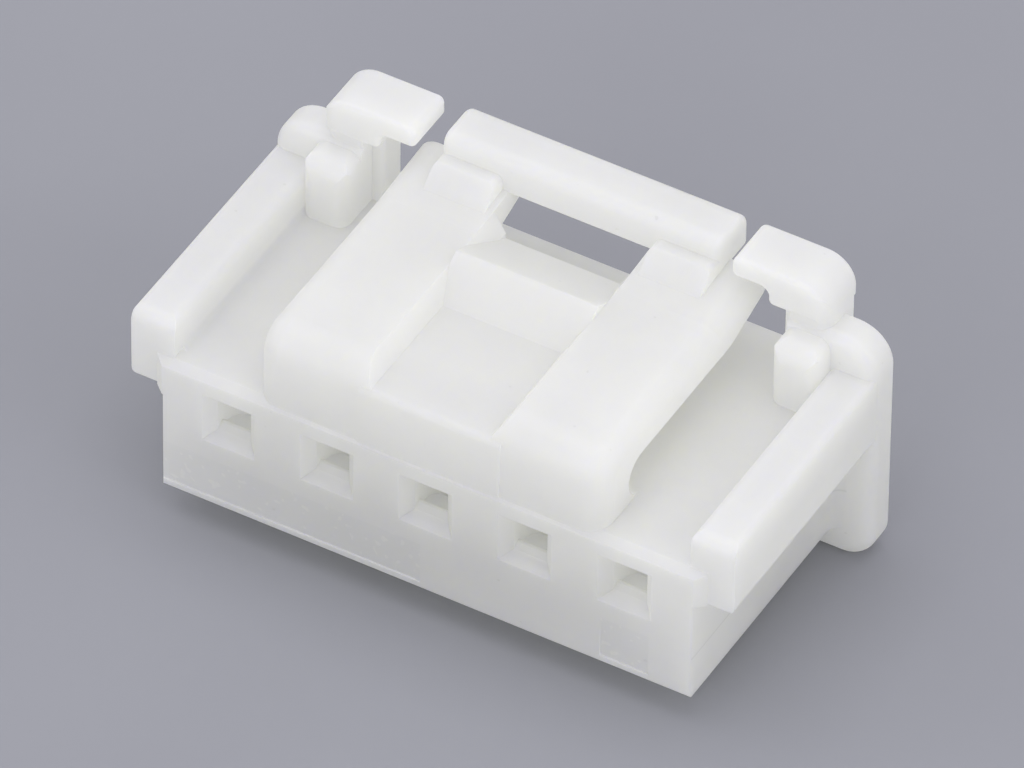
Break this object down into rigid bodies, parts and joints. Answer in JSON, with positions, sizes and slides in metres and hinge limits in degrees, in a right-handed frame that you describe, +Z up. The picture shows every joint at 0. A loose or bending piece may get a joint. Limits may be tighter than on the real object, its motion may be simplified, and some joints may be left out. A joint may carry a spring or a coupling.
{
  "type": "wire to board connector housing",
  "caption": "Moulded crimp housing in one row with funnel pin entries, end guide rails, a rear flange, side hooks and a springy latching lever on top.",
  "frame": {"origin": "centre of the overall box, at the height of the flange's lower edge", "axes": "+X along the row of circuits, +Y from the mating face towards the wire side, +Z up from the body towards the lever"},
  "size_m": [0.0122, 0.0064, 0.0061],
  "materials": {
    "nylon": "natural white nylon, satin from the mould"
  },
  "bodies": {
    "root": {"housing": "nylon"}
  },
  "joints": []
}
